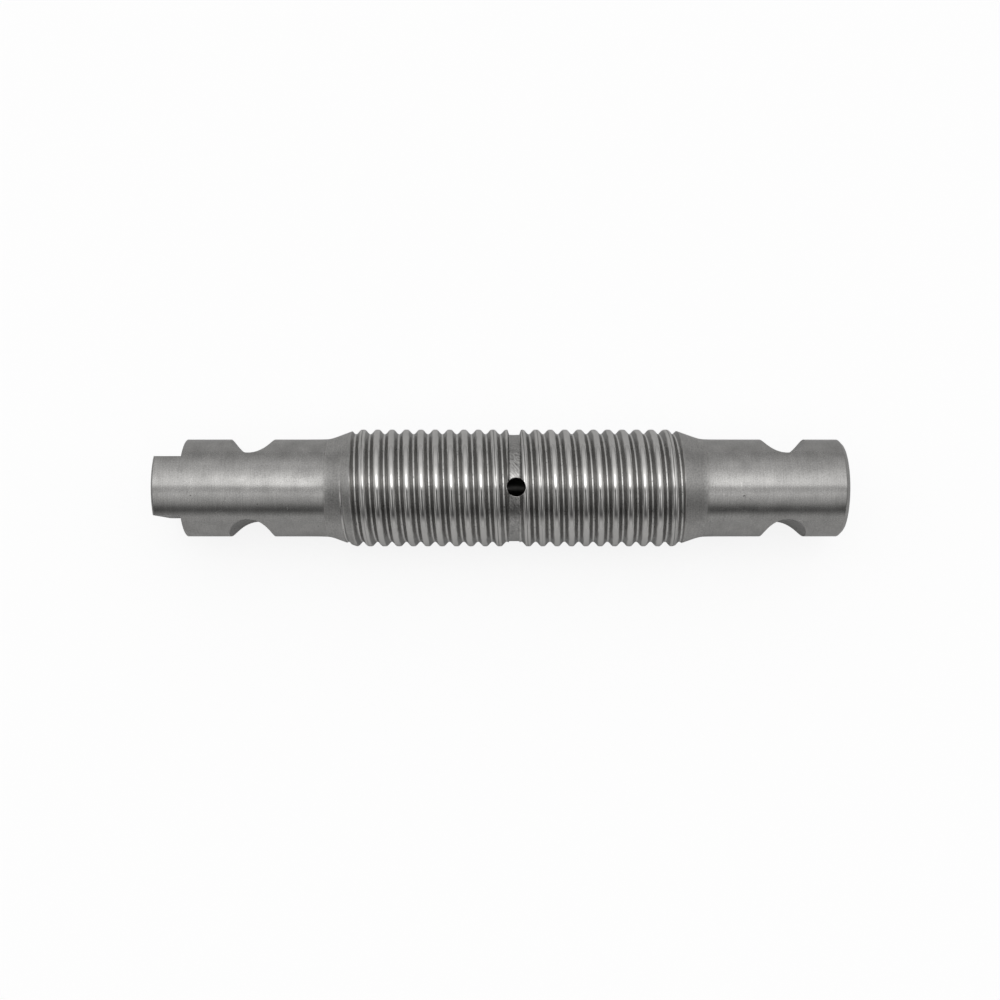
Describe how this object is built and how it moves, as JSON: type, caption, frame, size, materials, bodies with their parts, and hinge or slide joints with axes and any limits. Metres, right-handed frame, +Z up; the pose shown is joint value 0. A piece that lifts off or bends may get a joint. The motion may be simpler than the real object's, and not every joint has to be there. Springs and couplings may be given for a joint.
{
  "type": "threaded spring pin",
  "caption": "Greaseable threaded spring pin: rolled thread with a drilled waist, notched journals, driving tang, grease gallery, recessed grease fitting with sprung check ball, end plug.",
  "frame": {"origin": "middle of the pin's length, on the pin's axis", "axes": "+X along the pin towards its plain end with the grease fitting; the bolt notches and tang flats face +Y and -Y; +Z up, the way the cross grease hole in the thread's waist opens"},
  "size_m": [0.2, 0.0344, 0.0344],
  "materials": {
    "turned_steel": "bare turned and rolled steel, bright ground journals, glossy thread, duller cones and notches",
    "black_oxide_steel": "blackened steel, lightly oiled",
    "zinc_plated_steel": "bright zinc plate",
    "polished_ball_steel": "polished bearing steel",
    "spring_steel": "drawn spring wire"
  },
  "bodies": {
    "pin": {"threaded_pin": "turned_steel", "gallery_plug": "black_oxide_steel", "grease_fitting_body": "zinc_plated_steel", "grease_fitting_spring": "spring_steel"},
    "check_ball": {"grease_fitting_ball": "polished_ball_steel"}
  },
  "joints": [
    {"name": "check_ball_lift", "type": "slide", "parent": "pin", "child": "check_ball", "axis": [-1, 0, 0], "range_m": [0, 0.001], "stiffness_N_per_m": 400, "deforming": ["grease_fitting_spring"]}
  ]
}
